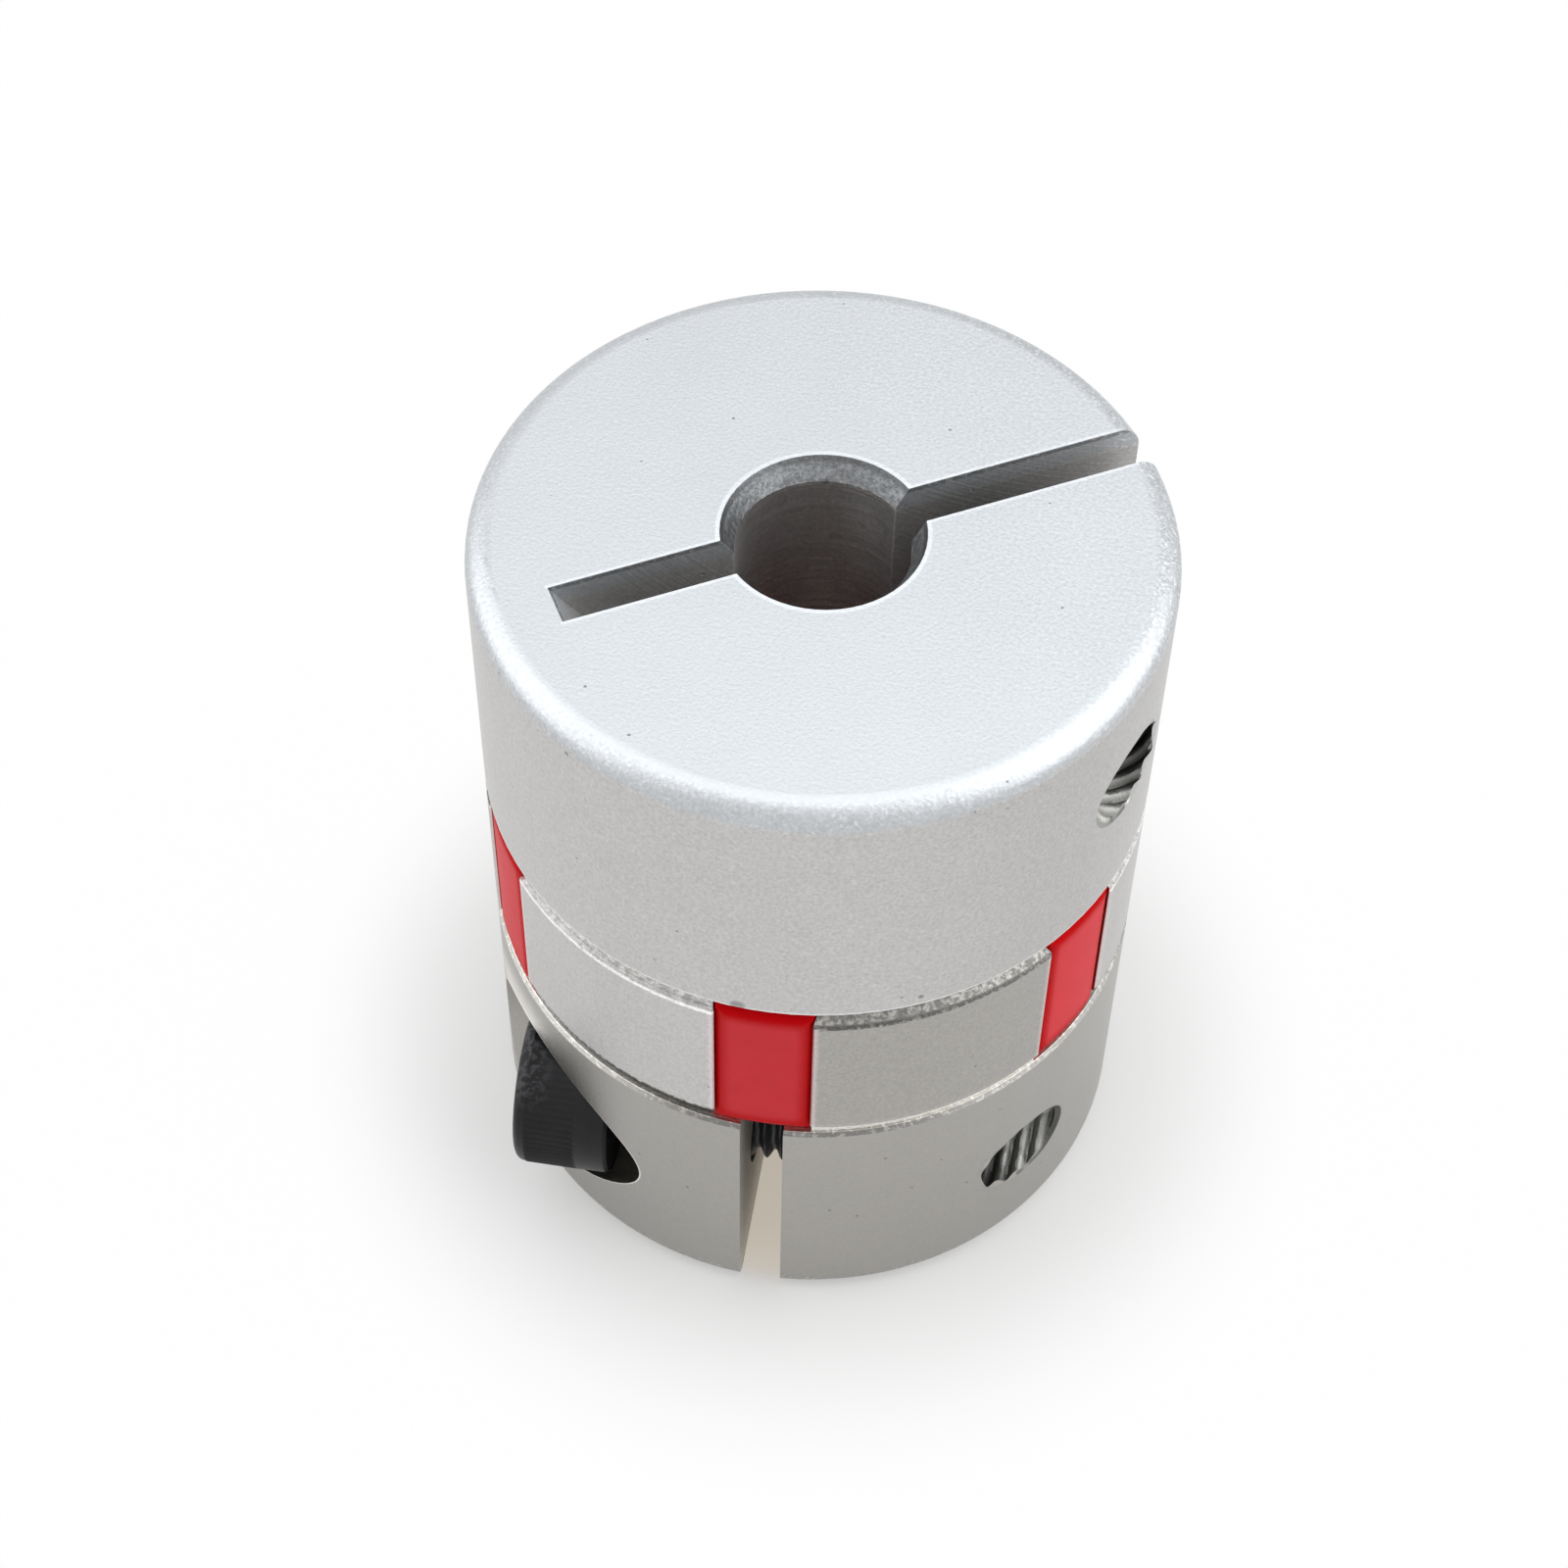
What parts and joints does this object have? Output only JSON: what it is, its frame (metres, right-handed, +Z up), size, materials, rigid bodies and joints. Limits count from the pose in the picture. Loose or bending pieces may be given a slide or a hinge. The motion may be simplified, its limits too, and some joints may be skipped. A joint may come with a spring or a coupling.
{
  "type": "jaw coupling",
  "caption": "Clamp-type jaw coupling joining two shafts end to end: slotted aluminium hubs whose jaws interlock around a red elastomer spider, each hub closed on its shaft by a cap screw.",
  "frame": {"origin": "centre of the lower hub's flat end face, on the coupling's axis", "axes": "+Z up along the coupling's axis towards the upper hub; the lower hub's clamp slot opens towards -Y, and its clamp screw lies along X with its head at -X"},
  "size_m": [0.02, 0.0214, 0.025],
  "materials": {
    "hub_aluminium": "bead-blasted and clear anodised",
    "spider_elastomer": "smooth moulded red polyurethane",
    "screw_steel": "black oxide"
  },
  "bodies": {
    "root": {"lower_hub": "hub_aluminium", "upper_hub": "hub_aluminium", "spider": "spider_elastomer", "lower_clamp_screw": "screw_steel", "upper_clamp_screw": "screw_steel"}
  },
  "joints": []
}
